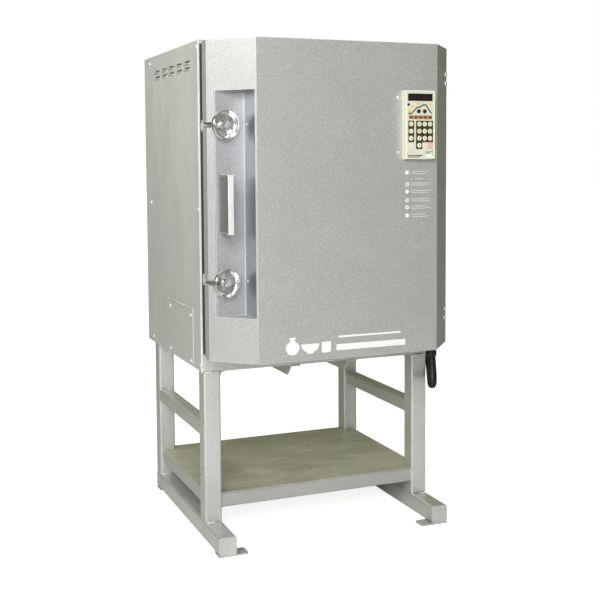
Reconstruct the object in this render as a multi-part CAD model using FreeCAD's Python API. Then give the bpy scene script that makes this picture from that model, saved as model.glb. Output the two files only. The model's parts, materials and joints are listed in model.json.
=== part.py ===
import FreeCAD, Part
import math
import os

# Front-loading pottery kiln on a welded tube stand. Millimetres, Z up, viewer on the -Y side.
# Origin: floor level, centre of the four anchor holes of the foot plates.

V = FreeCAD.Vector

# Stand
TUBE = 50.0
TUBE_WALL = 3.0
TUBE_CORNER = 6.0
BRACE = 40.0
FOOT_T = 4.5
RAIL_HALF = 335.5
ANCHOR_X = 284.5
ANCHOR_Y = 313.5
ANCHOR_R = 5.5
POST_TOP = 482.0
BRACE_Z = 295.0
SHELF_Z = 91.0
BEARER_X = 90.0

# Casing
HALF_W = 353.0
SHEET = 1.5
FRONT = -207.5
SIDE_BACK = FRONT + 556.0
BACK = FRONT + 618.0
CASE_BOTTOM = 482.0
FLOOR_Z = 532.0
TOP = 1400.0

# Firing chamber and its lining
CH_HALF = 200.0
CH_DEPTH = 400.0
BRICK = 114.0
CH_Z0 = 672.0
CH_Z1 = 1240.0
BRICK_HALF = CH_HALF + BRICK
BRICK_BACK = FRONT + CH_DEPTH + BRICK
GEAR_PLATE_Y = SIDE_BACK - 4.0

# Vent in the roof
VENT_Y = FRONT + 270.0
PLUG_R = 20.0
PLUG_LEN = 60.0

# Heating elements
ELEMENT_X = CH_HALF + 7.0
ELEMENT_R = 5.0
ELEMENT_ZS = (728.0, 798.0, 888.0, 958.0, 1048.0, 1118.0)
ELEMENT_FRONT = FRONT + 30.0
ELEMENT_BACK = FRONT + 576.0

# Door, offsets in Y counted from the cabinet front
DOOR_HALF = 363.0
DOOR_FLAT_LEFT = 260.0
DOOR_FLAT_RIGHT = 273.0
DOOR_Y_BACK = FRONT - 60.0
DOOR_Y_EDGE = FRONT - 96.0
DOOR_Y_FACE = FRONT - 200.0
DOOR_Z0 = 534.0
DOOR_Z1 = 1389.0
DOOR_SHEET = 2.0
LINING_HALF = 255.0
LINING_Z0 = 617.0
LINING_Z1 = 1295.0

# Handle pocket in the left chamfer
POCKET_X0 = -348.0
POCKET_X1 = -263.0
SEAM_R = 1.8
POCKET_Y = FRONT - 112.0
POCKET_Z0 = 655.0
POCKET_Z1 = 1255.0

# Hinges
HINGE_X = 366.0
HINGE_Y = FRONT - 22.0
HINGE_ZS = (621.0, 1301.0)
KNUCKLE_R = 11.0
HINGE_PIN_R = 6.0

# Swing-bolt clamps
CLAMP_X = -346.0
CLAMP_Y = FRONT - 12.0
CLAMP_ZS = (745.0, 1165.0)
CLAMP_LEAN = math.radians(11.0)
BOLT_R = 6.4
WASHER_AT = 104.0
WHEEL_R = 38.5
WHEEL_OPENING = 82.0
WHEEL_PHASE = {CLAMP_ZS[0]: 60.0, CLAMP_ZS[1]: 5.0}
RUN_GAP = 0.05

# Controller
CTRL_X = 165.5
CTRL_Z = 1259.0
CTRL_W = 89.5
CTRL_H = 187.0
CTRL_BEVEL = 1.5
CTRL_Y = DOOR_Y_FACE - 20.0
KEY_R = 6.4
KEY_PROUD = 1.6
KEY_DEPTH = 5.0
KEY_TRAVEL = 1.0
KEY_GAP = 0.2


def box(x0, x1, y0, y1, z0, z1):
    return Part.makeBox(x1 - x0, y1 - y0, z1 - z0, V(x0, y0, z0))


def rod(start, direction, radius, length):
    return Part.makeCylinder(radius, length, V(*start), V(*direction))


def prism(points, z0, z1):
    corners = [V(x, y, z0) for x, y in points]
    face = Part.Face(Part.makePolygon(corners + corners[:1]))
    return face.extrude(V(0, 0, z1 - z0))


def join(shapes):
    body = shapes[0]
    for other in shapes[1:]:
        body = body.fuse(other)
    return body.removeSplitter()


def cut_all(body, tools):
    for tool in tools:
        body = body.cut(tool)
    return body


def mirrored(body):
    return body.mirror(V(0, 0, 0), V(1, 0, 0))


def rounded_bar(x0, x1, y0, y1, z0, z1, along, radius=TUBE_CORNER):
    """Solid bar with its four long edges rounded; along is 0, 1 or 2 for X, Y or Z."""
    bar = box(x0, x1, y0, y1, z0, z1)
    long_edges = []
    for edge in bar.Edges:
        step = edge.Vertexes[1].Point - edge.Vertexes[0].Point
        if abs(step[along]) > 0.99 * edge.Length:
            long_edges.append(edge)
    return bar.makeFillet(radius, long_edges)


def inner_bar(x0, x1, y0, y1, z0, z1, along, wall=TUBE_WALL, ends=0.0):
    """The hollow of a tube: the bar shrunk by the wall, and by ends along its length."""
    shrink = [wall, wall, wall]
    shrink[along] = ends
    lo = (x0 + shrink[0], y0 + shrink[1], z0 + shrink[2])
    hi = (x1 - shrink[0], y1 - shrink[1], z1 - shrink[2])
    return rounded_bar(lo[0], hi[0], lo[1], hi[1], lo[2], hi[2], along, TUBE_CORNER - wall)


# ---- stand -----------------------------------------------------------------------------

def foot_plate(y_mid):
    outer = HALF_W - SHEET
    inner = outer - TUBE
    plate = box(-outer, -inner, y_mid - 22.0, y_mid + 22.0, 0.0, FOOT_T)
    tab = box(-inner, -inner + 34.0, y_mid - 22.0, y_mid + 22.0, 0.0, FOOT_T)
    corners = [e for e in tab.Edges if abs(e.Length - FOOT_T) < 0.01 and e.CenterOfMass.x > -inner + 30]
    tab = tab.makeFillet(6.0, corners)
    hole = rod((-ANCHOR_X, y_mid, -1.0), (0, 0, 1), ANCHOR_R, FOOT_T + 2.0)
    return plate.fuse(tab).cut(hole)


def corner_fillet(y):
    """Rounded weld fillet in the inner corner between an upright and the top frame."""
    x = -(HALF_W - SHEET) + TUBE
    r = 13.0
    block = box(x, x + r, y + 2.0, y + TUBE - 2.0, POST_TOP - r, POST_TOP)
    return block.cut(rod((x + r, y, POST_TOP - r), (0, 1, 0), r, TUBE))


def left_side_frame():
    outer = -(HALF_W - SHEET)
    inner = outer + TUBE
    rail_z = (FOOT_T, FOOT_T + TUBE)
    rail = (outer, inner, -RAIL_HALF, RAIL_HALF, rail_z[0], rail_z[1], 1)
    posts = [(outer, inner, y, y + TUBE, rail_z[1], POST_TOP, 2) for y in (FRONT, RAIL_HALF - TUBE)]
    brace_y = (FRONT + TUBE, RAIL_HALF - TUBE)
    brace = (outer + 1.0, outer + 1.0 + BRACE, brace_y[0], brace_y[1], BRACE_Z, BRACE_Z + BRACE, 1)
    frame = rounded_bar(*rail)
    for part in posts + [brace]:
        frame = frame.fuse(rounded_bar(*part))
    frame = frame.cut(inner_bar(*rail, ends=TUBE_WALL))
    for post in posts:
        frame = frame.cut(inner_bar(*post))
    frame = frame.cut(inner_bar(*brace))
    x_mid = (outer + inner) / 2
    drains = [rod((x_mid, y, -1.0), (0, 0, 1), 3.0, 12.0) for y in (-100.0, 100.0)]
    drains += [rod((x_mid, y, BRACE_Z - 1.0), (0, 0, 1), 2.0, 6.0) for y in (-60.0, 60.0)]
    frame = cut_all(frame, drains)
    frame = join([frame] + [corner_fillet(y) for y in (FRONT, RAIL_HALF - TUBE)])
    plates = [foot_plate(y) for y in (-ANCHOR_Y, ANCHOR_Y)]
    return join([frame] + plates)


def right_side_frame():
    return mirrored(left_side_frame())


def floor_bearer(x):
    """Angle under the cabinet floor; its front end is cut off at 45 degrees."""
    y0 = FRONT + 2.0
    y1 = RAIL_HALF - 4.0
    upright = box(x - 2.0, x + 2.0, y0, y1, POST_TOP - 32.0, POST_TOP)
    flange = box(x - 2.0, x + 30.0, y0, y1, POST_TOP - 4.0, POST_TOP)
    corner = [V(x - 5.0, y0 - 1, POST_TOP - 33.0), V(x - 5.0, y0 + 26.0, POST_TOP - 33.0)]
    corner.append(V(x - 5.0, y0 - 1, POST_TOP - 5.0))
    wedge = Part.Face(Part.makePolygon(corner + corner[:1])).extrude(V(10.0, 0, 0))
    hole = rod((x - 5.0, y0 + 40.0, POST_TOP - 17.0), (1, 0, 0), 4.0, 10.0)
    return upright.fuse(flange).cut(wedge).cut(hole)


def top_frame():
    outer = HALF_W - SHEET
    z = (POST_TOP, POST_TOP + TUBE)
    cross = [(-outer, outer, y, y + TUBE, z[0], z[1], 0) for y in (FRONT, RAIL_HALF - TUBE)]
    y_gap = (FRONT + TUBE, RAIL_HALF - TUBE)
    sides = [(x, x + TUBE, y_gap[0], y_gap[1], z[0], z[1], 1) for x in (-outer, outer - TUBE)]
    frame = join([rounded_bar(*bar) for bar in cross + sides])
    for bar in cross:
        frame = frame.cut(inner_bar(*bar))
    for bar in sides:
        frame = frame.cut(inner_bar(*bar, ends=TUBE_WALL))
    for x in (-outer + TUBE / 2, outer - TUBE / 2):
        frame = frame.cut(rod((x, 0.0, z[0] - 1.0), (0, 0, 1), 3.0, 6.0))
    return join([frame] + [floor_bearer(x) for x in (-BEARER_X, BEARER_X)])


def shelf():
    """Lower shelf: a frame of 40 mm tube between the uprights with sheet welded on top."""
    inner = HALF_W - SHEET - TUBE
    wide = HALF_W - 12.0
    z = (SHELF_Z, SHELF_Z + BRACE)
    y_front = FRONT + 8.0
    y_back = RAIL_HALF - 8.0
    rails = [(-inner, inner, y_front, y_front + BRACE, z[0], z[1], 0)]
    rails.append((-inner, inner, y_back - BRACE, y_back, z[0], z[1], 0))
    y_gap = (FRONT + TUBE, RAIL_HALF - TUBE)
    rails.append((-wide, -wide + BRACE, y_gap[0], y_gap[1], z[0], z[1], 1))
    rails.append((wide - BRACE, wide, y_gap[0], y_gap[1], z[0], z[1], 1))
    frame = join([rounded_bar(*rail) for rail in rails])
    for rail in rails:
        frame = frame.cut(inner_bar(*rail))
    sheet = box(-inner, inner, y_front, y_back, z[1], z[1] + 2.0)
    sheet = sheet.fuse(box(-wide, wide, y_gap[0], y_gap[1], z[1], z[1] + 2.0))
    return join([frame, sheet])


# ---- casing ----------------------------------------------------------------------------

def louvre_slot(y, z):
    return box(-HALF_W - 1.0, -HALF_W + 3.0, y - 27.0, y + 27.0, z - 4.0, z + 4.5)


def louvre_lip(y, z):
    """Lip pressed out below the slot: a thin shelf that rises towards its outer edge."""
    corners = [(-HALF_W, z - 6.4), (-HALF_W - 5.0, z - 3.2), (-HALF_W - 5.0, z - 2.0)]
    corners += [(-HALF_W, z - 4.6)]
    points = [V(x, y - 29.0, h) for x, h in corners]
    return Part.Face(Part.makePolygon(points + points[:1])).extrude(V(0, 58.0, 0))


def louvre_places():
    return [(FRONT + 116.0 + 84.0 * i, z) for i in range(5) for z in (1347.0, 1329.0)]


def side_panel():
    return box(-HALF_W, -HALF_W + SHEET, FRONT, SIDE_BACK, CASE_BOTTOM, TOP - SHEET)


def casing_left():
    panel = side_panel()
    panel = cut_all(panel, [louvre_slot(y, z) for y, z in louvre_places()])
    hand_hole = box(-HALF_W - 1.0, -HALF_W + 3.0, FRONT + 130.0, FRONT + 310.0, 540.0, 616.0)
    return join([panel.cut(hand_hole)] + [louvre_lip(y, z) for y, z in louvre_places()])


def casing_right():
    panel = cut_all(side_panel(), [louvre_slot(y, z) for y, z in louvre_places()])
    return mirrored(join([panel] + [louvre_lip(y, z) for y, z in louvre_places()]))


def access_cover():
    x0 = -HALF_W - SHEET
    cover = box(x0, -HALF_W, FRONT + 90.0, FRONT + 350.0, 484.0, 652.0)
    corners = [e for e in cover.Edges if abs(e.Length - SHEET) < 0.01]
    return cover.makeFillet(5.0, corners)


def screw_head(point, direction, radius=5.5, height=3.0):
    """Domed screw head standing on a face, with its cross recess."""
    head = rod(point, direction, radius, height)
    axis = V(*direction)
    tip = V(*point) + axis * height
    outer = [e for e in head.Edges if e.Closed and (e.CenterOfMass - tip).Length < 0.01]
    head = head.makeFillet(height * 0.6, outer)
    side = V(0, 0, 1) if abs(axis.z) < 0.5 else V(1, 0, 0)
    for across in (side, axis.cross(side)):
        along = axis.cross(across)
        start = tip - axis * 1.2 - across * radius * 0.55 - along * 0.7
        slot = Part.makeBox(radius * 1.1, 1.4, 3.0)
        slot.Placement = FreeCAD.Placement(FreeCAD.Matrix(
            across.x, along.x, axis.x, start.x,
            across.y, along.y, axis.y, start.y,
            across.z, along.z, axis.z, start.z,
        ))
        head = head.cut(slot)
    return head


def casing_screws():
    heads = []
    for z in (1380.0, 937.0, 501.0):
        for y in (FRONT + 20.0, FRONT + 548.0):
            heads.append(screw_head((-HALF_W, y, z), (-1, 0, 0)))
            heads.append(screw_head((HALF_W, y, z), (1, 0, 0)))
    for z in (629.0, 497.0):
        for y in (FRONT + 110.0, FRONT + 330.0):
            heads.append(screw_head((-HALF_W - SHEET, y, z), (-1, 0, 0)))
    for z in (1380.0, 1090.0, 800.0, 510.0):
        for x in (-330.0, 330.0):
            heads.append(screw_head((x, BACK, z), (0, 1, 0)))
    return Part.makeCompound(heads)


def casing_rear():
    outer = box(-HALF_W, HALF_W, SIDE_BACK, BACK, CASE_BOTTOM, TOP - SHEET)
    inside = HALF_W - SHEET
    inner = box(-inside, inside, SIDE_BACK - 1, BACK - SHEET, CASE_BOTTOM + SHEET, TOP - 2 * SHEET)
    cover = outer.cut(inner)
    slots = []
    for z in (600.0, 1320.0):
        for row in range(4):
            for x in range(-240, 241, 80):
                low = z + 14.0 * row
                slots.append(box(x - 28.0, x + 28.0, BACK - 3.0, BACK + 1.0, low, low + 5.0))
    cord_hole = rod((220.0, BACK - 5.0, 545.0), (0, 1, 0), 12.0, 10.0)
    return cut_all(cover, slots + [cord_hole])


def vent_hole(radius):
    return rod((0.0, VENT_Y, CH_Z1 - 5.0), (0, 0, 1), radius, 200.0)


def casing_top():
    lid = box(-HALF_W, HALF_W, FRONT, BACK, TOP - SHEET, TOP)
    return lid.cut(vent_hole(PLUG_R + 0.6))


def casing_front():
    """Front frame around the brickwork, folded out of one sheet with the cabinet floor."""
    outer = HALF_W - SHEET
    frame = box(-outer, outer, FRONT, FRONT + SHEET, FLOOR_Z + 2.0, TOP - SHEET)
    mouth = box(-BRICK_HALF, BRICK_HALF, FRONT - 1, FRONT + 3, CH_Z0 - BRICK, CH_Z1 + BRICK)
    floor = box(-outer, outer, FRONT, GEAR_PLATE_Y, FLOOR_Z, FLOOR_Z + 2.0)
    return join([frame.cut(mouth), floor])


# ---- lining ----------------------------------------------------------------------------

def element_holes(radius):
    holes = []
    for z in ELEMENT_ZS:
        for x in (-ELEMENT_X, ELEMENT_X):
            start = FRONT + CH_DEPTH - 5.0
            holes.append(rod((x, start, z), (0, 1, 0), radius, ELEMENT_BACK - start + 5.0))
    return holes


def probe_hole(radius):
    return rod((0.0, FRONT + CH_DEPTH - 5.0, 1150.0), (0, 1, 0), radius, 200.0)


def element_grooves():
    grooves = []
    half = ELEMENT_R + 2.0
    for z in ELEMENT_ZS:
        y1 = FRONT + CH_DEPTH
        grooves.append(box(CH_HALF - 1, ELEMENT_X + half, ELEMENT_FRONT - half, y1, z - half, z + half))
    for low, high in zip(ELEMENT_ZS[0::2], ELEMENT_ZS[1::2]):
        y0 = ELEMENT_FRONT - half
        grooves.append(box(CH_HALF - 1, ELEMENT_X + half, y0, ELEMENT_FRONT + half, low, high))
    return grooves


def brick_floor():
    return box(-BRICK_HALF, BRICK_HALF, FRONT, BRICK_BACK, CH_Z0 - BRICK, CH_Z0)


def brick_roof():
    roof = box(-BRICK_HALF, BRICK_HALF, FRONT, BRICK_BACK, CH_Z1, CH_Z1 + BRICK)
    return roof.cut(vent_hole(PLUG_R + 0.6))


def brick_right():
    wall = box(CH_HALF, BRICK_HALF, FRONT, BRICK_BACK, CH_Z0, CH_Z1)
    return cut_all(wall, element_grooves() + element_holes(ELEMENT_R + 1.5))


def brick_left():
    return mirrored(brick_right())


def brick_rear():
    wall = box(-CH_HALF, CH_HALF, FRONT + CH_DEPTH, BRICK_BACK, CH_Z0, CH_Z1)
    wall = cut_all(wall, element_holes(ELEMENT_R + 1.5))
    return wall.cut(probe_hole(6.0))


def fibre_backing():
    """Insulating blanket and board that fills the space between the bricks and the casing."""
    outer = HALF_W - SHEET
    block = box(-outer, outer, FRONT + SHEET, GEAR_PLATE_Y, FLOOR_Z + 2.0, TOP - SHEET)
    core = box(-BRICK_HALF, BRICK_HALF, FRONT - 1, BRICK_BACK, CH_Z0 - BRICK, CH_Z1 + BRICK)
    block = block.cut(core)
    block = cut_all(block, element_holes(ELEMENT_R + 1.5))
    air_gap = box(-outer - 1, -outer + 26.0, FRONT + 78.0, FRONT + 490.0, 1302.0, 1372.0)
    gaps = [air_gap, mirrored(air_gap)]
    return cut_all(block, gaps + [probe_hole(6.0), vent_hole(PLUG_R + 0.6)])


def hairpin(x, low, high):
    depth = ELEMENT_BACK - ELEMENT_FRONT
    legs = [rod((x, ELEMENT_FRONT, z), (0, 1, 0), ELEMENT_R, depth) for z in (low, high)]
    link = rod((x, ELEMENT_FRONT, low), (0, 0, 1), ELEMENT_R, high - low)
    knees = [Part.makeSphere(ELEMENT_R, V(x, ELEMENT_FRONT, z)) for z in (low, high)]
    return join(legs + [link] + knees)


def heating_elements():
    pins = []
    for low, high in zip(ELEMENT_ZS[0::2], ELEMENT_ZS[1::2]):
        for x in (-ELEMENT_X, ELEMENT_X):
            pins.append(hairpin(x, low, high))
    return Part.makeCompound(pins)


def thermocouple():
    sheath = rod((0.0, FRONT + CH_DEPTH - 45.0, 1150.0), (0, 1, 0), 4.5, 200.0)
    head = rod((0.0, GEAR_PLATE_Y + 4.0, 1150.0), (0, 1, 0), 16.0, 26.0)
    return join([sheath, head])


def control_gear():
    """Rear plate with two contactors, a terminal block and the mains inlet."""
    outer = HALF_W - SHEET
    plate = box(-outer, outer, GEAR_PLATE_Y, GEAR_PLATE_Y + 2.0, FLOOR_Z, TOP - 2 * SHEET)
    plate = cut_all(plate, element_holes(ELEMENT_R + 1.5) + [probe_hole(6.0)])
    y0 = GEAR_PLATE_Y + 2.0
    blocks = []
    for x in (-110.0, 10.0):
        blocks.append(box(x, x + 60.0, y0, y0 + 48.0, 900.0, 980.0))
        blocks.append(box(x + 8.0, x + 52.0, y0 + 48.0, y0 + 56.0, 920.0, 960.0))
    for i in range(6):
        blocks.append(box(-90.0 + 28.0 * i, -66.0 + 28.0 * i, y0, y0 + 30.0, 760.0, 800.0))
    inlet = rod((220.0, BACK - 22.0, 545.0), (0, 1, 0), 11.9, 40.0)
    flange = rod((220.0, BACK, 545.0), (0, 1, 0), 17.0, 8.0)
    bridge = box(208.0, 232.0, y0, BACK - 18.0, 540.0, 550.0)
    return join([plate, bridge, inlet, flange] + blocks)


def vent_plug():
    shaft = rod((0.0, VENT_Y, TOP - PLUG_LEN), (0, 0, 1), PLUG_R, PLUG_LEN)
    cap = rod((0.0, VENT_Y, TOP), (0, 0, 1), 30.0, 8.0)
    knob = rod((0.0, VENT_Y, TOP + 8.0), (0, 0, 1), 9.0, 14.0)
    body = join([shaft, cap, knob])
    rim = [e for e in body.Edges if e.Closed and e.CenterOfMass.z > TOP + 7.0 and e.Length > 50]
    return body.makeFillet(2.0, rim)


# ---- hinges ----------------------------------------------------------------------------

def hinge_bracket(z):
    plate = box(314.0, 351.0, FRONT - 8.0, FRONT, z - 36.0, z + 36.0)
    lugs = []
    for low in (z - 23.0, z + 12.0):
        lug = box(330.0, HINGE_X, HINGE_Y - KNUCKLE_R, FRONT - 4.0, low, low + 11.0)
        eye = rod((HINGE_X, HINGE_Y, low), (0, 0, 1), KNUCKLE_R, 11.0)
        lugs += [lug, eye]
    pin = rod((HINGE_X, HINGE_Y, z - 24.0), (0, 0, 1), HINGE_PIN_R, 50.0)
    cap = rod((HINGE_X, HINGE_Y, z + 23.0), (0, 0, 1), HINGE_PIN_R + 2.5, 4.0)
    return join([plate, pin, cap] + lugs)


def hinge_brackets():
    return Part.makeCompound([hinge_bracket(z) for z in HINGE_ZS])


def hinge_arm(z):
    return box(351.0, 361.0, DOOR_Y_EDGE + 3.0, HINGE_Y, z - 11.6, z + 11.6)


def hinge_leaf(z):
    knuckle = rod((HINGE_X, HINGE_Y, z - 11.6), (0, 0, 1), KNUCKLE_R, 23.2)
    leaf = knuckle.fuse(hinge_arm(z))
    return leaf.cut(rod((HINGE_X, HINGE_Y, z - 20.0), (0, 0, 1), HINGE_PIN_R + RUN_GAP, 40.0))


def hinge_leaves():
    return Part.makeCompound([hinge_leaf(z) for z in HINGE_ZS])


# ---- door ------------------------------------------------------------------------------

def door_side(inset, flat):
    """Plan points of one side of the door, back edge first, for a flat front of this half width."""
    slope = math.atan2(DOOR_Y_EDGE - DOOR_Y_FACE, DOOR_HALF - flat)
    edge = DOOR_Y_EDGE + inset * math.tan(slope / 2)
    corner = flat - inset * math.tan(slope / 2)
    side = DOOR_HALF - inset
    return [(side, DOOR_Y_BACK), (side, edge), (corner, DOOR_Y_FACE + inset)]


def door_outline(inset):
    """Plan of the door shell with its two chamfers, moved inwards by inset except at the back."""
    left = [(-x, y) for x, y in reversed(door_side(inset, DOOR_FLAT_LEFT))]
    return door_side(inset, DOOR_FLAT_RIGHT) + left


def door_walls():
    walls = prism(door_outline(0.0), DOOR_Z0, DOOR_Z1)
    return walls.cut(prism(door_outline(DOOR_SHEET), DOOR_Z0 + DOOR_SHEET, DOOR_Z1 - DOOR_SHEET))


def clamp_slot(z):
    return box(-DOOR_HALF - 8.0, -308.0, POCKET_Y - 4.0, DOOR_Y_BACK + 5.0, z - 7.3, z + 7.3)


def key_places():
    """Keys of the controller as (x, z, half width, half height, kind) in door coordinates."""
    rows = (91.8, 111.2, 130.6)
    rounds = [(15.3, b) for b in rows]
    rounds += [(a, b) for b in rows for a in (40.7, 57.2, 73.8)]
    rounds.append((40.7, 149.9))
    keys = [(a, b, KEY_R, KEY_R, "round") for a, b in rounds]
    keys += [(15.3 + 14.6 * i, 73.4, 6.3, 4.3, "oval") for i in range(5)]
    keys += [(a, 57.1, 5.6, 5.6, "round") for a in (38.7, 57.2)]
    keys.append((73.8, 149.9, 9.2, 8.0, "square"))
    return [(CTRL_X + a, CTRL_Z - b, w, h, kind) for a, b, w, h, kind in keys]


def key_body(place, grow, y0, y1):
    x, z, half_w, half_h, kind = place
    if kind == "round":
        return rod((x, y0, z), (0, 1, 0), half_w + grow, y1 - y0)
    if kind == "oval":
        reach = half_w - half_h
        bar = box(x - reach, x + reach, y0, y1, z - half_h - grow, z + half_h + grow)
        ends = [rod((x + s * reach, y0, z), (0, 1, 0), half_h + grow, y1 - y0) for s in (-1, 1)]
        return join([bar] + ends)
    return box(x - half_w - grow, x + half_w + grow, y0, y1, z - half_h - grow, z + half_h + grow)


def front_edges(body, y):
    return [e for e in body.Edges if all(abs(v.Point.y - y) < 0.01 for v in e.Vertexes)]


def key_cap(place):
    y0 = CTRL_Y - KEY_PROUD
    cap = key_body(place, 0.0, y0, y0 + KEY_DEPTH)
    return cap.makeFillet(0.6, front_edges(cap, y0))


def door_shell():
    z0, z1 = DOOR_Z0, DOOR_Z1
    inner = DOOR_HALF - DOOR_SHEET
    back = box(-inner, inner, DOOR_Y_BACK - DOOR_SHEET, DOOR_Y_BACK, z0 + DOOR_SHEET, z1 - DOOR_SHEET)
    window = box(-LINING_HALF, LINING_HALF, DOOR_Y_BACK - 5, DOOR_Y_BACK + 5, LINING_Z0, LINING_Z1)
    shell = door_walls().fuse(back.cut(window)).removeSplitter()
    pocket = box(POCKET_X0, POCKET_X1, DOOR_Y_FACE - 10.0, POCKET_Y + 12.0, POCKET_Z0, POCKET_Z1)
    arms = [hinge_arm(z) for z in HINGE_ZS]
    gland = rod((298.0, FRONT - 125.0, z0 - 5.0), (0, 0, 1), 10.2, 12.0)
    return cut_all(shell, [pocket, gland] + arms + [clamp_slot(z) for z in CLAMP_ZS])


def door_pocket():
    """Sheet liner of the handle pocket: back plane, right wall with its seam, ceiling and floor."""
    z0, z1 = POCKET_Z0, POCKET_Z1
    back = box(POCKET_X0, POCKET_X1 + 2.0, POCKET_Y, POCKET_Y + 2.0, z0 - 2.0, z1 + 2.0)
    wall = box(POCKET_X1, POCKET_X1 + 2.0, DOOR_Y_FACE + DOOR_SHEET, POCKET_Y, z0 - 2.0, z1 + 2.0)
    corner = [(POCKET_X0 + 4.0, POCKET_Y), (POCKET_X1, DOOR_Y_FACE + 5.0), (POCKET_X1, POCKET_Y)]
    plates = [prism(corner, z0 - 2.0, z0), prism(corner, z1, z1 + 2.0)]
    seam = rod((POCKET_X1, POCKET_Y, z0 - 1.0), (0, 0, 1), SEAM_R, z1 - z0 + 2.0)
    trimmed = join([back, wall, seam] + plates).cut(door_walls())
    liner = max(trimmed.Solids, key=lambda piece: piece.Volume)
    return cut_all(liner, [clamp_slot(z) for z in CLAMP_ZS])


def door_lining():
    return box(-LINING_HALF, LINING_HALF, FRONT - 172.0, FRONT - 10.0, LINING_Z0, LINING_Z1)


def door_seal():
    outer = box(-LINING_HALF, LINING_HALF, FRONT - 10.0, FRONT, LINING_Z0, LINING_Z1)
    inner = box(-CH_HALF - 15.0, CH_HALF + 15.0, FRONT - 11.0, FRONT + 1.0, CH_Z0 - 15.0, CH_Z1 + 15.0)
    return outer.cut(inner)


def pull_handle():
    """Folded pull: a left web and a front lip between two end plates, open to the right."""
    x0, x1 = -336.5, -321.5
    z0, z1 = 880.0, 1032.0
    y_out = POCKET_Y - 78.0
    web = box(x0, x0 + 2.5, y_out, POCKET_Y, z0, z1)
    lip = box(x0, x1, y_out, y_out + 2.5, z0, z1)
    fold = web.fuse(lip).removeSplitter()
    bends = [e for e in fold.Edges if e.Length > 100.0 and (e.CenterOfMass - V(x0, y_out, 956.0)).Length < 1]
    fold = fold.makeFillet(2.0, bends)
    ends = [box(x0 - 1.5, x1 + 0.5, y_out - 0.5, POCKET_Y, z, z + 3.5) for z in (z0 - 1.5, z1 - 2.0)]
    foot = box(x0, x1, POCKET_Y - 2.5, POCKET_Y, z0, z1)
    return join([fold, foot] + ends)


def chamfer_point(t):
    """Point on the right chamfer, t from 0 at its outer edge to 1 at the front face."""
    x = DOOR_HALF + (DOOR_FLAT_RIGHT - DOOR_HALF) * t
    y = DOOR_Y_EDGE + (DOOR_Y_FACE - DOOR_Y_EDGE) * t
    return x, y


def door_screws():
    run = DOOR_HALF - DOOR_FLAT_RIGHT
    rise = DOOR_Y_EDGE - DOOR_Y_FACE
    size = math.hypot(run, rise)
    outward = (rise / size, -run / size, 0.0)
    heads = []
    x, y = chamfer_point(0.12)
    for z in (HINGE_ZS[0] - 13.0, HINGE_ZS[0] + 13.0, HINGE_ZS[1] - 13.0, HINGE_ZS[1] + 13.0):
        heads.append(screw_head((x, y, z), outward, 7.0, 3.5))
    for x in (CTRL_X - 14.5, CTRL_X + CTRL_W + 12.5):
        for z in (1240.5, 1090.0):
            heads.append(screw_head((x, DOOR_Y_FACE, z), (0, -1, 0), 4.4, 2.6))
    for z in (CLAMP_ZS[0] + 2.0, CLAMP_ZS[1] + 1.0):
        heads.append(screw_head((POCKET_X1, FRONT - 130.0, z), (-1, 0, 0), 4.0, 2.2))
    return Part.makeCompound(heads)


def display_window(y0):
    return box(CTRL_X + 6.6, CTRL_X + 80.3, y0, CTRL_Y + 3.0, CTRL_Z - 28.0, CTRL_Z - 10.0)


def controller_housing():
    back_y = DOOR_Y_FACE
    base = [(-CTRL_BEVEL, -CTRL_BEVEL), (CTRL_W + CTRL_BEVEL, -CTRL_BEVEL)]
    base += [(CTRL_W + CTRL_BEVEL, CTRL_H + CTRL_BEVEL), (-CTRL_BEVEL, CTRL_H + CTRL_BEVEL)]
    face = [(0.0, 0.0), (CTRL_W, 0.0), (CTRL_W, CTRL_H), (0.0, CTRL_H)]
    wires = []
    for y, loop in ((back_y, base), (CTRL_Y, face)):
        corners = [V(CTRL_X + a, y, CTRL_Z - b) for a, b in loop]
        wires.append(Part.makePolygon(corners + corners[:1]))
    body = Part.makeLoft(wires, True, True)
    body = body.cut(display_window(CTRL_Y - 1.0))
    y1 = CTRL_Y - KEY_PROUD + KEY_DEPTH + KEY_TRAVEL + 0.4
    return cut_all(body, [key_body(place, KEY_GAP, CTRL_Y - 1.0, y1) for place in key_places()])


def controller_display():
    return display_window(CTRL_Y + 0.5)


def door_cable():
    """Strain relief under the door and the flexible conduit that hangs from it."""
    x, y = 298.0, FRONT - 125.0
    neck = rod((x, y, DOOR_Z0 - 14.0), (0, 0, 1), 10.0, 20.0)
    nut = rod((x, y, DOOR_Z0 - 16.0), (0, 0, 1), 15.0, 16.0)
    turn = 36.0
    low = 452.0
    path = Part.Wire([
        Part.makeLine(V(x, y, DOOR_Z0 - 10.0), V(x, y, low)),
        Part.Arc(V(x, y, low), V(x, y + turn, low - turn), V(x, y + 2 * turn, low)).toShape(),
        Part.makeLine(V(x, y + 2 * turn, low), V(x, y + 2 * turn, 478.0)),
    ])
    ring = Part.Wire(Part.makeCircle(10.5, V(x, y, DOOR_Z0 - 10.0), V(0, 0, 1)))
    conduit = path.makePipeShell([ring], True, True)
    return join([neck, nut, conduit])


# ---- swing-bolt clamps -----------------------------------------------------------------

def clamp_lugs():
    """Two pairs of lugs with a fixed pin, which carry the eyes of the swing bolts."""
    parts = []
    for z in CLAMP_ZS:
        lugs = []
        for low in (z - 14.5, z + 8.5):
            arm = box(CLAMP_X - 7.0, CLAMP_X + 7.0, DOOR_Y_BACK, CLAMP_Y, low, low + 6.0)
            lugs += [arm, rod((CLAMP_X, CLAMP_Y, low), (0, 0, 1), 7.0, 6.0)]
        pin = rod((CLAMP_X, CLAMP_Y, z - 16.0), (0, 0, 1), 4.0, 32.0)
        parts.append(join(lugs + [pin]))
    return Part.makeCompound(parts)


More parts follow.
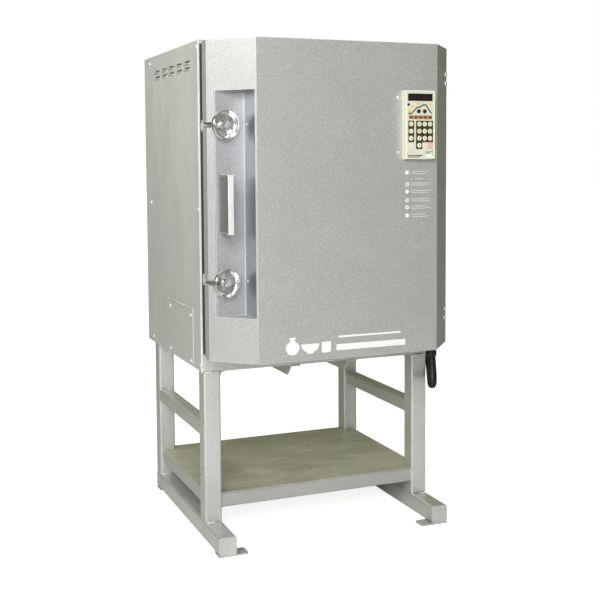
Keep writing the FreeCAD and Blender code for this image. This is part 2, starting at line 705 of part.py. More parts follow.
def along_bolt(s, z):
    x = CLAMP_X + s * math.sin(CLAMP_LEAN)
    y = CLAMP_Y - s * math.cos(CLAMP_LEAN)
    return x, y, z


BOLT_AXIS = (math.sin(CLAMP_LEAN), -math.cos(CLAMP_LEAN), 0.0)


def swing_bolt(z):
    eye = rod((CLAMP_X, CLAMP_Y, z - 8.0), (0, 0, 1), 8.0, 16.0)
    shank = rod((CLAMP_X, CLAMP_Y, z), BOLT_AXIS, BOLT_R, 136.0)
    bolt = eye.fuse(shank)
    return bolt.cut(rod((CLAMP_X, CLAMP_Y, z - 20.0), (0, 0, 1), 4.0 + RUN_GAP, 40.0))


def thrust_washer(z):
    bore = rod(along_bolt(WASHER_AT - 1.0, z), BOLT_AXIS, BOLT_R + RUN_GAP, 12.0)
    nose = rod(along_bolt(WASHER_AT, z), BOLT_AXIS, 9.0, 4.0)
    flange = rod(along_bolt(WASHER_AT + 3.5, z), BOLT_AXIS, 14.0, 3.5)
    return join([nose, flange]).cut(bore)


def wheel_radial(angle):
    side = V(math.cos(CLAMP_LEAN), math.sin(CLAMP_LEAN), 0.0)
    return side * math.cos(angle) + V(0, 0, 1) * math.sin(angle)


def wheel_point(z, radius, at, angle):
    return V(*along_bolt(at, z)) + wheel_radial(angle) * radius


def wheel_turned(z, profile):
    """Solid of revolution about the bolt from (radius, distance along the bolt) points."""
    points = [wheel_point(z, r, at, 0.0) for r, at in profile]
    face = Part.Face(Part.makePolygon(points + points[:1]))
    return face.revolve(V(*along_bolt(0.0, z)), V(*BOLT_AXIS), 360)


def wheel_opening(z, angle, at):
    """Kidney-shaped opening in the wheel's dish, centred on angle."""
    half = math.radians(WHEEL_OPENING / 2)
    corners = [wheel_point(z, 0.0, at, angle)]
    corners += [wheel_point(z, 60.0, at, angle + half * k) for k in (-1.0, -0.33, 0.33, 1.0)]
    wedge = Part.Face(Part.makePolygon(corners + corners[:1])).extrude(V(*BOLT_AXIS) * 30.0)
    ring = rod(along_bolt(at, z), BOLT_AXIS, WHEEL_R - 10.5, 30.0)
    ring = ring.cut(rod(along_bolt(at - 1.0, z), BOLT_AXIS, 13.5, 32.0))
    return ring.common(wedge)


def handwheel(z):
    """Dished handwheel: hub, sloping web with three openings, and a deep flared rim."""
    at = WASHER_AT + 7.0
    bore = BOLT_R + RUN_GAP
    hub = [(bore, at), (11.0, at), (11.0, at + 15.0), (9.5, at + 18.0), (bore, at + 19.0)]
    web = [(9.0, at + 3.0), (WHEEL_R - 5.0, at + 5.0), (WHEEL_R - 5.0, at + 12.0), (WHEEL_R - 11.0, at + 8.5)]
    web.append((9.0, at + 6.5))
    rim = [(WHEEL_R - 9.0, at + 5.0), (WHEEL_R - 2.0, at + 3.0), (WHEEL_R, at + 5.5), (WHEEL_R, at + 17.0)]
    rim += [(WHEEL_R - 1.2, at + 18.6), (WHEEL_R - 3.0, at + 18.6), (WHEEL_R - 9.0, at + 9.5)]
    start = WHEEL_PHASE[z]
    openings = [wheel_opening(z, math.radians(start + 120.0 * i), at - 2.0) for i in range(3)]
    dish = cut_all(wheel_turned(z, web), openings)
    return join([wheel_turned(z, hub), dish, wheel_turned(z, rim)])


NODES = {
    "left_side_frame": left_side_frame,
    "right_side_frame": right_side_frame,
    "top_frame": top_frame,
    "shelf": shelf,
    "casing_left": casing_left,
    "casing_right": casing_right,
    "casing_rear": casing_rear,
    "casing_top": casing_top,
    "casing_front": casing_front,
    "access_cover": access_cover,
    "casing_screws": casing_screws,
    "brick_floor": brick_floor,
    "brick_left": brick_left,
    "brick_right": brick_right,
    "brick_rear": brick_rear,
    "brick_roof": brick_roof,
    "fibre_backing": fibre_backing,
    "heating_elements": heating_elements,
    "thermocouple": thermocouple,
    "control_gear": control_gear,
    "vent_plug": vent_plug,
    "hinge_brackets": hinge_brackets,
    "hinge_leaves": hinge_leaves,
    "door_shell": door_shell,
    "door_pocket": door_pocket,
    "door_lining": door_lining,
    "door_seal": door_seal,
    "door_screws": door_screws,
    "door_cable": door_cable,
    "pull_handle": pull_handle,
    "controller_housing": controller_housing,
    "controller_display": controller_display,
    "clamp_lugs": clamp_lugs,
}

CLAMP_NODES = {"swing_bolt": swing_bolt, "thrust_washer": thrust_washer, "handwheel": handwheel}


def main():
    os.makedirs("parts", exist_ok=True)
    for name, make in NODES.items():
        make().exportStep("parts/" + name + ".step")
    for side, z in zip(("lower", "upper"), CLAMP_ZS):
        for name, make in CLAMP_NODES.items():
            make(z).exportStep("parts/" + side + "_" + name + ".step")
    for number, place in enumerate(key_places(), start=1):
        key_cap(place).exportStep("parts/key_%02d.step" % number)


main()
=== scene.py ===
import math
import json
import bpy
import bmesh
from mathutils import Vector, Matrix


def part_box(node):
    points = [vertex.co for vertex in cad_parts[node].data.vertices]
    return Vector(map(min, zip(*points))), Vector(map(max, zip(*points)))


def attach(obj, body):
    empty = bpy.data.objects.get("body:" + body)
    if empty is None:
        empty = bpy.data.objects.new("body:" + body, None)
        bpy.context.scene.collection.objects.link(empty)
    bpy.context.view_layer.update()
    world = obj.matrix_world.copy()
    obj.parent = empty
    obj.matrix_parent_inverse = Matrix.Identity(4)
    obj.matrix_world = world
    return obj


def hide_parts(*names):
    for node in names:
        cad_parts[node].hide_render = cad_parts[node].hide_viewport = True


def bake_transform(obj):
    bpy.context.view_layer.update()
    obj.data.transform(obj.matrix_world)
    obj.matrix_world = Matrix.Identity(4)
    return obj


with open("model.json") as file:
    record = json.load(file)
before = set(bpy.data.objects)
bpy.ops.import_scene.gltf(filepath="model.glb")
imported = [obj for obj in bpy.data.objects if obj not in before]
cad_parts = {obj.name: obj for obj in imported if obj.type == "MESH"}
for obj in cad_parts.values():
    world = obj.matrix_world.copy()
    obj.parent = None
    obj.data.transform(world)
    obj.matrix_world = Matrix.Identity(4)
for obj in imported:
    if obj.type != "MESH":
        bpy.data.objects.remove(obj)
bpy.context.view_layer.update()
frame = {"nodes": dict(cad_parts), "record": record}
NODES = frame["nodes"]
scene = bpy.context.scene


# ------------------------------------------------------------------ materials

class Mat:
    """Small helper around a node tree: principled shader plus chains of texture nodes."""

    def __init__(self, name, color, rough=0.5, metal=0.0, **inputs):
        self.m = bpy.data.materials.new(name)
        self.m.use_nodes = True
        self.t = self.m.node_tree
        self.p = self.t.nodes["Principled BSDF"]
        self.color = tuple(color) + (1.0,)
        self.p.inputs["Base Color"].default_value = self.color
        self.p.inputs["Roughness"].default_value = rough
        self.p.inputs["Metallic"].default_value = metal
        for key, value in inputs.items():
            self.p.inputs[key.replace("_", " ")].default_value = value
        self.co = self.t.nodes.new("ShaderNodeTexCoord").outputs["Object"]
        self.last_normal = None
        self.col = None

    def node(self, kind, **props):
        n = self.t.nodes.new(kind)
        for key, value in props.items():
            setattr(n, key, value)
        return n

    def link(self, a, b):
        self.t.links.new(a, b)

    def scaled(self, scale):
        n = self.node("ShaderNodeMapping")
        n.inputs["Scale"].default_value = scale
        self.link(self.co, n.inputs["Vector"])
        return n.outputs["Vector"]

    def noise(self, scale, detail=4.0, rough=0.55, stretch=(1, 1, 1), distortion=0.0):
        n = self.node("ShaderNodeTexNoise")
        n.inputs["Scale"].default_value = scale
        n.inputs["Detail"].default_value = detail
        n.inputs["Roughness"].default_value = rough
        n.inputs["Distortion"].default_value = distortion
        self.link(self.scaled(stretch), n.inputs["Vector"])
        return n.outputs["Fac"]

    def voronoi(self, scale, feature="F1", stretch=(1, 1, 1)):
        n = self.node("ShaderNodeTexVoronoi", feature=feature)
        n.inputs["Scale"].default_value = scale
        self.link(self.scaled(stretch), n.inputs["Vector"])
        return n.outputs["Distance"]

    def ramp(self, fac, stops):
        n = self.node("ShaderNodeValToRGB")
        r = n.color_ramp
        while len(r.elements) < len(stops):
            r.elements.new(0.5)
        for e, (pos, value) in zip(r.elements, stops):
            e.position = pos
            e.color = tuple(value) + (1.0,) if len(value) == 3 else value
        self.link(fac, n.inputs["Fac"])
        return n.outputs["Color"]

    def mix(self, fac, a, b, blend="MIX"):
        n = self.node("ShaderNodeMix", data_type="RGBA", blend_type=blend)
        for socket, value in ((n.inputs[0], fac), (n.inputs[6], a), (n.inputs[7], b)):
            if isinstance(value, (int, float)):
                socket.default_value = value
            elif isinstance(value, tuple):
                socket.default_value = value if len(value) == 4 else value + (1.0,)
            else:
                self.link(value, socket)
        return n.outputs[2]

    def base(self):
        return self.col if self.col is not None else self.color

    def tint(self, fac, color, blend="MIX"):
        """Mixes color over the base where fac is high."""
        self.col = self.mix(fac, self.base(), tuple(color), blend)
        self.link(self.col, self.p.inputs["Base Color"])
        return self

    def shade(self, fac, low, high):
        """Multiplies the base by a grey from low to high as fac goes from 0.3 to 0.7."""
        grey = self.ramp(fac, [(0.3, (low,) * 3), (0.7, (high,) * 3)])
        self.col = self.mix(1.0, self.base(), grey, "MULTIPLY")
        self.link(self.col, self.p.inputs["Base Color"])
        return self

    def roughness(self, fac, low, high):
        n = self.node("ShaderNodeMapRange")
        n.inputs["From Min"].default_value = 0.3
        n.inputs["From Max"].default_value = 0.7
        n.inputs["To Min"].default_value = low
        n.inputs["To Max"].default_value = high
        self.link(fac, n.inputs["Value"])
        self.link(n.outputs["Result"], self.p.inputs["Roughness"])
        return self

    def bump(self, fac, strength, distance):
        n = self.node("ShaderNodeBump")
        n.inputs["Strength"].default_value = strength
        n.inputs["Distance"].default_value = distance
        self.link(fac, n.inputs["Height"])
        if self.last_normal is not None:
            self.link(self.last_normal, n.inputs["Normal"])
        self.last_normal = n.outputs["Normal"]
        self.link(self.last_normal, self.p.inputs["Normal"])
        return self

    def paint_edge_highlight(self, color, radius=0.002, amount=0.6):
        """Painted highlight: lighter colour along sharp edges."""
        b = self.node("ShaderNodeBevel", samples=4)
        b.inputs["Radius"].default_value = radius
        g = self.node("ShaderNodeNewGeometry")
        d = self.node("ShaderNodeVectorMath", operation="DOT_PRODUCT")
        self.link(b.outputs["Normal"], d.inputs[0])
        self.link(g.outputs["Normal"], d.inputs[1])
        fac = self.ramp(d.outputs["Value"], [(0.80, (amount,) * 3), (0.985, (0, 0, 0))])
        return self.tint(fac, color)


def paint_crease_shade(m, color, distance=0.03, amount=0.6):
    """Painted shade: darkens creases and hollows found by ambient occlusion."""
    n = m.node("ShaderNodeAmbientOcclusion", samples=6)
    n.inputs["Distance"].default_value = distance
    fac = m.ramp(n.outputs["AO"], [(0.25, (amount,) * 3), (0.85, (0, 0, 0))])
    return m.tint(fac, color)


def hammertone(name, color, metal=0.45):
    m = Mat(name, color, 0.38, metal)
    cells = m.voronoi(420.0, "SMOOTH_F1")
    m.shade(m.noise(5.0, 3.0), 0.97, 1.03)
    m.shade(cells, 0.88, 1.08)
    m.shade(m.noise(430.0, 3.0, 0.7), 0.76, 1.22)
    m.roughness(m.noise(240.0, 3.0), 0.32, 0.50)
    m.bump(cells, 0.3, 0.0008)
    m.bump(m.noise(380.0, 3.0, 0.6), 0.25, 0.0006)
    # painted highlight along the sharp edges
    m.paint_edge_highlight((0.95, 0.96, 0.95), 0.003, 0.9)
    return m


def smooth_paint(name, color, rough=0.42, metal=0.35):
    m = Mat(name, color, rough, metal)
    m.shade(m.noise(3.0, 5.0, 0.6, (1, 1, 0.35)), 0.93, 1.05)
    m.shade(m.noise(90.0, 3.0), 0.97, 1.03)
    m.roughness(m.noise(18.0, 4.0, 0.6, (1, 1, 0.4)), rough - 0.08, rough + 0.12)
    m.bump(m.noise(160.0, 3.0), 0.10, 0.0004)
    m.bump(m.noise(7.0, 2.0), 0.10, 0.002)
    # painted highlight along the edges
    m.paint_edge_highlight((0.90, 0.90, 0.86), 0.0018, 0.7)
    # painted shade in creases and hollows
    paint_crease_shade(m, (0.20, 0.20, 0.17), 0.02, 0.35)
    return m


def tube_paint(name, color, metal=0.5, left_shade_tone=(0.42, 0.42, 0.33), left_shade_amount=0.35):
    m = Mat(name, color, 0.34, metal)
    m.shade(m.noise(9.0, 4.0, 0.6, (1, 1, 0.5)), 0.90, 1.06)
    m.shade(m.noise(120.0, 3.0), 0.94, 1.05)
    # Painted shade: faces turned to the left (-X) are mixed towards a darker tone.
    g = m.node("ShaderNodeNewGeometry")
    xyz = m.node("ShaderNodeSeparateXYZ")
    m.link(g.outputs["Normal"], xyz.inputs["Vector"])
    left = m.node("ShaderNodeMath", operation="MULTIPLY")
    left.inputs[1].default_value = -1.0
    m.link(xyz.outputs["X"], left.inputs[0])
    m.tint(m.ramp(left.outputs["Value"], [(0.4, (0, 0, 0)), (0.9, (left_shade_amount,) * 3)]), left_shade_tone)
    m.roughness(m.noise(30.0, 4.0), 0.26, 0.46)
    m.bump(m.noise(220.0, 3.0), 0.12, 0.0005)
    # painted highlight along the edges
    m.paint_edge_highlight((0.92, 0.93, 0.91), 0.004, 0.6)
    # painted shade in creases and hollows
    paint_crease_shade(m, (0.25, 0.25, 0.20), 0.03, 0.5)
    return m


def shelf_paint(name):
    """Bare-looking olive top with cloudy streaks; faces not turned up are mixed towards a darker grey, a painted
    shade.
    """
    m = Mat(name, (0.58, 0.58, 0.46), 0.46, 0.25)
    m.shade(m.noise(4.0, 6.0, 0.65, (1, 2.2, 1), 1.2), 0.80, 1.25)
    m.shade(m.noise(40.0, 5.0, 0.6, (0.4, 3, 1)), 0.90, 1.10)
    g = m.node("ShaderNodeNewGeometry")
    xyz = m.node("ShaderNodeSeparateXYZ")
    m.link(g.outputs["Normal"], xyz.inputs["Vector"])
    # Painted shade: faces that are not turned up get a darker grey.
    side = m.ramp(xyz.outputs["Z"], [(0.35, (1, 1, 1)), (0.7, (0, 0, 0))])
    m.tint(side, (0.46, 0.46, 0.44))
    m.roughness(m.noise(8.0, 5.0, 0.6, (1, 2, 1)), 0.30, 0.55)
    m.bump(m.noise(140.0, 3.0), 0.12, 0.0006)
    # painted highlight along the edges
    m.paint_edge_highlight((0.85, 0.85, 0.80), 0.003, 0.7)
    # painted shade in creases and hollows
    paint_crease_shade(m, (0.12, 0.12, 0.09), 0.04, 0.5)
    return m


def polished(name, color=(0.80, 0.80, 0.80), rough=0.09, metal=1.0):
    m = Mat(name, color, rough, metal)
    m.shade(m.noise(25.0, 3.0), 0.95, 1.03)
    m.roughness(m.noise(20.0, 3.0), max(0.02, rough - 0.02), rough + 0.03)
    # painted shade in creases and hollows
    paint_crease_shade(m, (0.10, 0.11, 0.08), 0.008, 0.6)
    return m


def turned_steel(name, color, rough=0.32, metal=1.0):
    m = Mat(name, color, rough, metal)
    m.shade(m.noise(200.0, 3.0, 0.5, (1, 1, 6)), 0.82, 1.08)
    m.roughness(m.noise(120.0, 4.0, 0.5, (1, 1, 5)), rough - 0.1, rough + 0.15)
    m.bump(m.noise(400.0, 2.0, 0.5, (1, 1, 5)), 0.12, 0.0003)
    # painted shade in creases and hollows
    paint_crease_shade(m, (0.10, 0.09, 0.08), 0.01, 0.5)
    return m


def plastic(name, color, rough=0.4, grain=900.0):
    m = Mat(name, color, rough, 0.0)
    m.shade(m.noise(12.0, 3.0), 0.96, 1.03)
    m.shade(m.noise(grain, 2.0), 0.95, 1.04)
    m.roughness(m.noise(60.0, 3.0), rough - 0.06, rough + 0.10)
    m.bump(m.noise(grain, 2.0), 0.18, 0.0002)
    return m


def brickwork(name):
    m = Mat(name, (0.80, 0.73, 0.58), 0.92, 0.0)
    m.shade(m.noise(14.0, 6.0, 0.7), 0.84, 1.10)
    m.tint(m.ramp(m.noise(5.0, 5.0), [(0.55, (0, 0, 0)), (0.72, (0.35,) * 3)]), (0.62, 0.43, 0.28))
    pits = m.voronoi(260.0)
    m.tint(m.ramp(pits, [(0.06, (0.7,) * 3), (0.16, (0, 0, 0))]), (0.36, 0.28, 0.19))
    m.bump(pits, 0.5, 0.0015)
    m.bump(m.noise(320.0, 5.0, 0.7), 0.5, 0.0012)
    return m


def blanket(name):
    m = Mat(name, (0.88, 0.87, 0.82), 0.97, 0.0)
    m.shade(m.noise(30.0, 6.0, 0.7), 0.88, 1.05)
    m.tint(m.ramp(m.noise(7.0, 4.0), [(0.52, (0, 0, 0)), (0.75, (0.3,) * 3)]), (0.60, 0.52, 0.40))
    m.bump(m.noise(240.0, 8.0, 0.75, (1, 1, 1), 1.5), 0.7, 0.002)
    return m


def conduit_plastic(name):
    m = Mat(name, (0.007, 0.007, 0.008), 0.32, 0.0)
    m.shade(m.noise(50.0, 4.0), 0.7, 1.6)
    m.roughness(m.noise(120.0, 4.0), 0.22, 0.42)
    m.bump(m.noise(500.0, 3.0), 0.15, 0.0003)
    return m


M = {
    "silver_paint": tube_paint("silver_paint", (0.72, 0.73, 0.71), 0.55),
    "casing_paint": smooth_paint("casing_paint", (0.685, 0.682, 0.665)),
    "hammertone": hammertone("hammertone", (0.56, 0.57, 0.555)),
    "pocket_paint": hammertone("pocket_paint", (0.47, 0.475, 0.485)),
    "shelf_steel": shelf_paint("shelf_steel"),
    "firebrick": brickwork("firebrick"),
    "fibre": blanket("fibre"),
    "element_alloy": turned_steel("element_alloy", (0.20, 0.17, 0.15), 0.5),
    "probe_ceramic": plastic("probe_ceramic", (0.84, 0.82, 0.76), 0.5, 400.0),
    "gear_plastic": plastic("gear_plastic", (0.16, 0.17, 0.18), 0.5),
    "plug_ceramic": brickwork("plug_ceramic"),
    "hinge_steel": turned_steel("hinge_steel", (0.56, 0.56, 0.55)),
    "screw_steel": polished("screw_steel", (0.95, 0.94, 0.90), 0.22, 0.35),
    "chrome": polished("chrome", (0.88, 0.89, 0.84), 0.15, 0.93),
    "clamp_steel": turned_steel("clamp_steel", (0.66, 0.65, 0.68), 0.45, 0.5),
    "conduit_black": conduit_plastic("conduit_black"),
    # grip paint with a near-black painted shade on its left-facing faces
    "grip_paint": tube_paint("grip_paint", (0.95, 0.95, 0.94), 0.4, (0.17, 0.19, 0.18), 0.95),
    "controller_cream": plastic("controller_cream", (0.70, 0.70, 0.56), 0.42),
    "display_glass": plastic("display_glass", (0.010, 0.009, 0.009), 0.12, 300.0),
    "key_cream": plastic("key_cream", (0.84, 0.80, 0.60), 0.35, 500.0),
    "key_amber": plastic("key_amber", (0.13, 0.125, 0.09), 0.35, 500.0),
    "key_green": plastic("key_green", (0.012, 0.020, 0.012), 0.30, 500.0),
    "key_pink": plastic("key_pink", (0.80, 0.50, 0.42), 0.38, 500.0),
}

INK_BLACK = plastic("panel_black", (0.040, 0.036, 0.014), 0.45)
INK_OLIVE = plastic("panel_olive", (0.055, 0.055, 0.028), 0.45)
INK_FAINT = plastic("worn_print", (0.66, 0.66, 0.64), 0.5)
RIM_CREAM = plastic("controller_rim", (0.86, 0.86, 0.74), 0.40)
# near-white paint for painted highlights on edges
HIGHLIGHT_WHITE = smooth_paint("edge_highlight_paint", (0.90, 0.90, 0.89))
# near-black for the painted shadow in the gap beside the door
GAP_SHADOW = plastic("gap_shadow", (0.050, 0.048, 0.046), 0.85)
# dark grey for the painted shade behind the louvres
LOUVRE_SHADE = plastic("louvre_shade", (0.34, 0.34, 0.29), 0.8)
INK_WHITE = plastic("panel_white", (0.92, 0.92, 0.90), 0.5)
INK_AMBER = plastic("panel_amber", (0.86, 0.52, 0.12), 0.5)
INK_ORANGE = plastic("panel_orange", (0.80, 0.36, 0.09), 0.5)
WELD = turned_steel("weld_metal", (0.90, 0.90, 0.86), 0.24)
MORTAR = plastic("mortar_line", (0.30, 0.24, 0.16), 0.9, 300.0)

slot_of = {s["node"]: s["material_slot"] for s in frame["record"]["subparts"]}
for name, obj in NODES.items():
    obj.data.materials.clear()
    obj.data.materials.append(M[slot_of[name]].m)


# ------------------------------------------------------------------ helpers

def soften(names, width, segments=3, angle=35.0):
    """Rounds the sharp edges of CAD nodes for the render only."""
    for n in names:
        mod = NODES[n].modifiers.new("edge", "BEVEL")
        mod.width = width
        mod.segments = segments
        mod.limit_method = "ANGLE"
        mod.angle_limit = math.radians(angle)
        mod.harden_normals = False


def smooth(obj, angle=40.0):
    for poly in obj.data.polygons:
        poly.use_smooth = True
    bpy.context.view_layer.objects.active = obj
    obj.select_set(True)
    bpy.ops.object.shade_auto_smooth(angle=math.radians(angle))
    obj.select_set(False)


def new_mesh(name, bm, mat, body):
    me = bpy.data.meshes.new(name)
    bm.to_mesh(me)
    bm.free()
    obj = bpy.data.objects.new(name, me)
    scene.collection.objects.link(obj)
    obj.data.materials.append(mat.m)
    if body:
        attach(obj, body)
    return obj


def sweep(bm, points, radius_at, sides=12, closed=False):
    """Tube along points; radius_at(i) gives its radius at each ring."""
    rings = []
    n = len(points)
    up = Vector((0, 0, 1))
    prev = None
    for i, p in enumerate(points):
        a = points[(i - 1) % n] if closed or i > 0 else points[i]
        b = points[(i + 1) % n] if closed or i < n - 1 else points[i]
        t = (b - a).normalized()
        if prev is None:
            side = t.cross(up)
            if side.length < 1e-4:
                side = t.cross(Vector((1, 0, 0)))
        else:
            side = prev - t * prev.dot(t)
        side.normalize()
        prev = side
        other = t.cross(side)
        r = radius_at(i)
        ring = []
        for k in range(sides):
            ang = 2 * math.pi * k / sides
            ring.append(bm.verts.new(p + side * (r * math.cos(ang)) + other * (r * math.sin(ang))))
        rings.append(ring)
    pairs = list(zip(rings, rings[1:]))
    if closed:
        pairs.append((rings[-1], rings[0]))
    for r0, r1 in pairs:
        for k in range(sides):
            bm.faces.new((r0[k], r0[(k + 1) % sides], r1[(k + 1) % sides], r1[k]))
    if not closed:
        bm.faces.new(rings[0][::-1])
        bm.faces.new(rings[-1])
    bmesh.ops.recalc_face_normals(bm, faces=bm.faces)


def lathe(bm, origin, axis, profile, sides=48):
    """Surface of revolution: profile is (radius, distance along axis), closed as a loop."""
    axis = Vector(axis).normalized()
    side = axis.orthogonal().normalized()
    other = axis.cross(side)
    rings = []
    for r, s in profile:
        ring = []
        for k in range(sides):
            ang = 2 * math.pi * k / sides
            spoke = side * math.cos(ang) + other * math.sin(ang)
            ring.append(bm.verts.new(Vector(origin) + axis * s + spoke * r))
        rings.append(ring)
    for i in range(len(rings)):
        a, b = rings[i], rings[(i + 1) % len(rings)]
        for k in range(sides):
            bm.faces.new((a[k], a[(k + 1) % sides], b[(k + 1) % sides], b[k]))
    bmesh.ops.recalc_face_normals(bm, faces=bm.faces)


def slab(bm, x0, x1, y0, y1, z0, z1):
    m = Matrix.Translation(((x0 + x1) / 2, (y0 + y1) / 2, (z0 + z1) / 2))
    m = m @ Matrix.Diagonal((x1 - x0, y1 - y0, z1 - z0, 1))
    bmesh.ops.create_cube(bm, size=1.0, matrix=m)


# ------------------------------------------------------------------ soft edges on the CAD pieces

soften(["door_shell"], 0.0022, 3)
soften(["door_pocket", "casing_top", "access_cover"], 0.0006, 2)
soften(["controller_housing"], 0.0012, 3, 50.0)
soften(["brick_floor", "brick_left", "brick_right", "brick_rear", "door_lining", "door_seal"], 0.002, 2)
for n, o in NODES.items():
    if n not in ("door_shell", "door_pocket", "controller_housing"):
        smooth(o, 30.0)
smooth(NODES["door_shell"], 25.0)


# ------------------------------------------------------------------ weld beads on the stand

def bead(name, a, b, r=0.0032, step=0.0035):
    """Row of overlapping weld ripples from a to b."""
    a, b = Vector(a), Vector(b)
    length = (b - a).length
    n = max(8, int(length / step) * 4)
    pts = [a.lerp(b, i / n) for i in range(n + 1)]
    bm = bmesh.new()

    def ripple(i):
        wave = abs(math.sin(math.pi * i / 4))
        drift = 0.12 * math.sin(i * 1.7) + 0.08 * math.sin(i * 0.61)
        cap = min(1.0, 0.35 + min(i, n - i) / 3.0)
        return r * cap * (0.78 + 0.24 * wave + drift * 0.5)

    sweep(bm, pts, ripple, 8)
    o = new_mesh(name, bm, WELD, "cabinet")
    smooth(o, 60)
    return o


F = -0.2075
OUT = 0.3515
INN = OUT - 0.050
weld_no = 0
for s, side in ((-1, "left"), (1, "right")):
    xi, xo = s * INN, s * OUT
    for y0, y1 in ((F, F + 0.05), (0.2855, 0.3355)):
        runs = [((xi + s * 0.004, y0, 0.0548), (xo - s * 0.004, y0, 0.0548)),
                ((xi + s * 0.004, y1, 0.0548), (xo - s * 0.004, y1, 0.0548)),
                ((xi, y0 + 0.004, 0.4822), (xi, y1 - 0.004, 0.4822)),
                ((xi + s * 0.004, y0 if y0 < 0 else y1, 0.4822), (xo - s * 0.004, y0 if y0 < 0 else y1, 0.4822))]
        for a, b in runs:
            if a[0] == b[0] and a[1] > 0.3355:
                continue
            bead("weld_%s_%02d" % (side, weld_no), a, b)
            weld_no += 1
    for y, ins in ((F + 0.05, 1), (0.2855, -1)):
        xa, xb = s * (OUT - 0.001), s * (OUT - 0.041)
        for z in (0.295, 0.335):
            bead("weld_%s_%02d" % (side, weld_no), (xa - s * 0.004, y, z), (xb, y, z), 0.0028)
            weld_no += 1
        bead("weld_%s_%02d" % (side, weld_no), (xb, y, 0.299), (xb, y, 0.331), 0.0028)
        weld_no += 1
    bead("weld_%s_%02d" % (side, weld_no), (xi, F + 0.010, 0.0925), (xi, F + 0.046, 0.0925), 0.0028)
    weld_no += 1
    bead("weld_%s_%02d" % (side, weld_no), (xi, F + 0.008, 0.096), (xi, F + 0.008, 0.130), 0.0028)
    weld_no += 1
    for y in (-0.3135, 0.3135):
        bead("weld_%s_%02d" % (side, weld_no), (xi, y - 0.019, 0.0048), (xi, y + 0.019, 0.0048), 0.0024)
        weld_no += 1


# ------------------------------------------------------------------ brick joints and coiled elements in the chamber

CHX, CHZ0, CHZ1, CHY = 0.200, 0.672, 1.240, F + 0.400
COURSES = (0.763, 0.843, 0.923, 1.003, 1.083, 1.163)
J, PROUD = 0.0009, 0.0003


def brick_joints():
    """Thin joint lines between the single bricks of each chamber wall."""
    levels = (CHZ0,) + COURSES + (CHZ1,)
    for side, s in (("left", -1), ("right", 1)):
        x0, x1 = sorted((s * CHX, s * (CHX - PROUD)))
        bm = bmesh.new()
        for k, z in enumerate(COURSES):
            if k % 2 == 0:
                slab(bm, x0, x1, F + 0.001, F + 0.022, z - J, z + J)
            slab(bm, x0, x1, F + (0.038 if k % 2 == 0 else 0.001), CHY, z - J, z + J)
        for k, (lo, hi) in enumerate(zip(levels, levels[1:])):
            for y in ((0.115, 0.345) if k % 2 else (0.230,)):
                for a, b in clear_spans(lo, hi):
                    slab(bm, x0, x1, F + y - J, F + y + J, a, b)
        new_mesh("brick_joints_" + side, bm, MORTAR, "cabinet")
    bm = bmesh.new()
    for z in COURSES:
        slab(bm, -CHX, CHX, CHY - PROUD, CHY, z - J, z + J)
    for k, (lo, hi) in enumerate(zip(levels, levels[1:])):
        for x in ((-0.115, 0.115) if k % 2 else (0.0,)):
            if abs(x) > 0.01 or not lo < 1.150 < hi:
                slab(bm, x - J, x + J, CHY - PROUD, CHY, lo, hi)
    new_mesh("brick_joints_rear", bm, MORTAR, "cabinet")
    bm = bmesh.new()
    for x in (-0.086, 0.028, 0.142):
        slab(bm, x - J, x + J, F + 0.001, CHY, CHZ0, CHZ0 + PROUD)
        if abs(x) > 0.05:
            slab(bm, x - J, x + J, F + 0.001, CHY, CHZ1 - PROUD, CHZ1)
    new_mesh("brick_joints_floor", bm, MORTAR, "cabinet")
    bm = bmesh.new()
    y = F - 0.010
    for z in (0.735, 0.811, 0.887, 0.963, 1.039, 1.115, 1.191):
        slab(bm, -0.213, 0.213, y, y + PROUD, z - J, z + J)
    for k, z in enumerate((0.735, 0.811, 0.887, 0.963, 1.039, 1.115)):
        for x in ((-0.115, 0.115) if k % 2 else (0.0,)):
            slab(bm, x - J, x + J, y, y + PROUD, z, z + 0.076)
    new_mesh("brick_joints_door", bm, MORTAR, "door")


def clear_spans(lo, hi):
    """Parts of a vertical joint that don't run over an element groove."""
    cuts = [z for z in ELEMENT_Z if lo < z < hi]
    edges = [lo] + [e for z in cuts for e in (z - 0.0075, z + 0.0075)] + [hi]
    return list(zip(edges[0::2], edges[1::2]))


ELEMENT_Z = (0.728, 0.798, 0.888, 0.958, 1.048, 1.118)
brick_joints()


def coil_path(x, low, high):
    """Wire wound round a hairpin: two legs into the wall joined at the front."""
    front, inner, back = F + 0.030, F + 0.398, F + 0.576
    legs = [(Vector((x, inner, low)), Vector((x, front, low))), (Vector((x, front, low)), Vector((x, front, high))),
            (Vector((x, front, high)), Vector((x, inner, high)))]
    pts = [Vector((x, back, low)), Vector((x, inner + 0.004, low))]
    turn = 0.0
    for a, b in legs:
        d = (b - a).normalized()
        side = Vector((1, 0, 0))
        other = d.cross(side)
        n = int((b - a).length / 0.0047 * 10)
        for i in range(n):
            ang = 2 * math.pi * turn / 10
            pts.append(a.lerp(b, i / n) + (side * math.cos(ang) + other * math.sin(ang)) * 0.0041)
            turn += 1
    return pts + [Vector((x, inner + 0.004, high)), Vector((x, back, high))]


bm = bmesh.new()
for x in (-0.207, 0.207):
    for low, high in zip(ELEMENT_Z[0::2], ELEMENT_Z[1::2]):
        sweep(bm, coil_path(x, low, high), lambda i: 0.00085, 5)
coils = new_mesh("element_coils", bm, M["element_alloy"], "cabinet")
smooth(coils, 80)
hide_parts("heating_elements")


# ------------------------------------------------------------------ conduit from the door into the cabinet

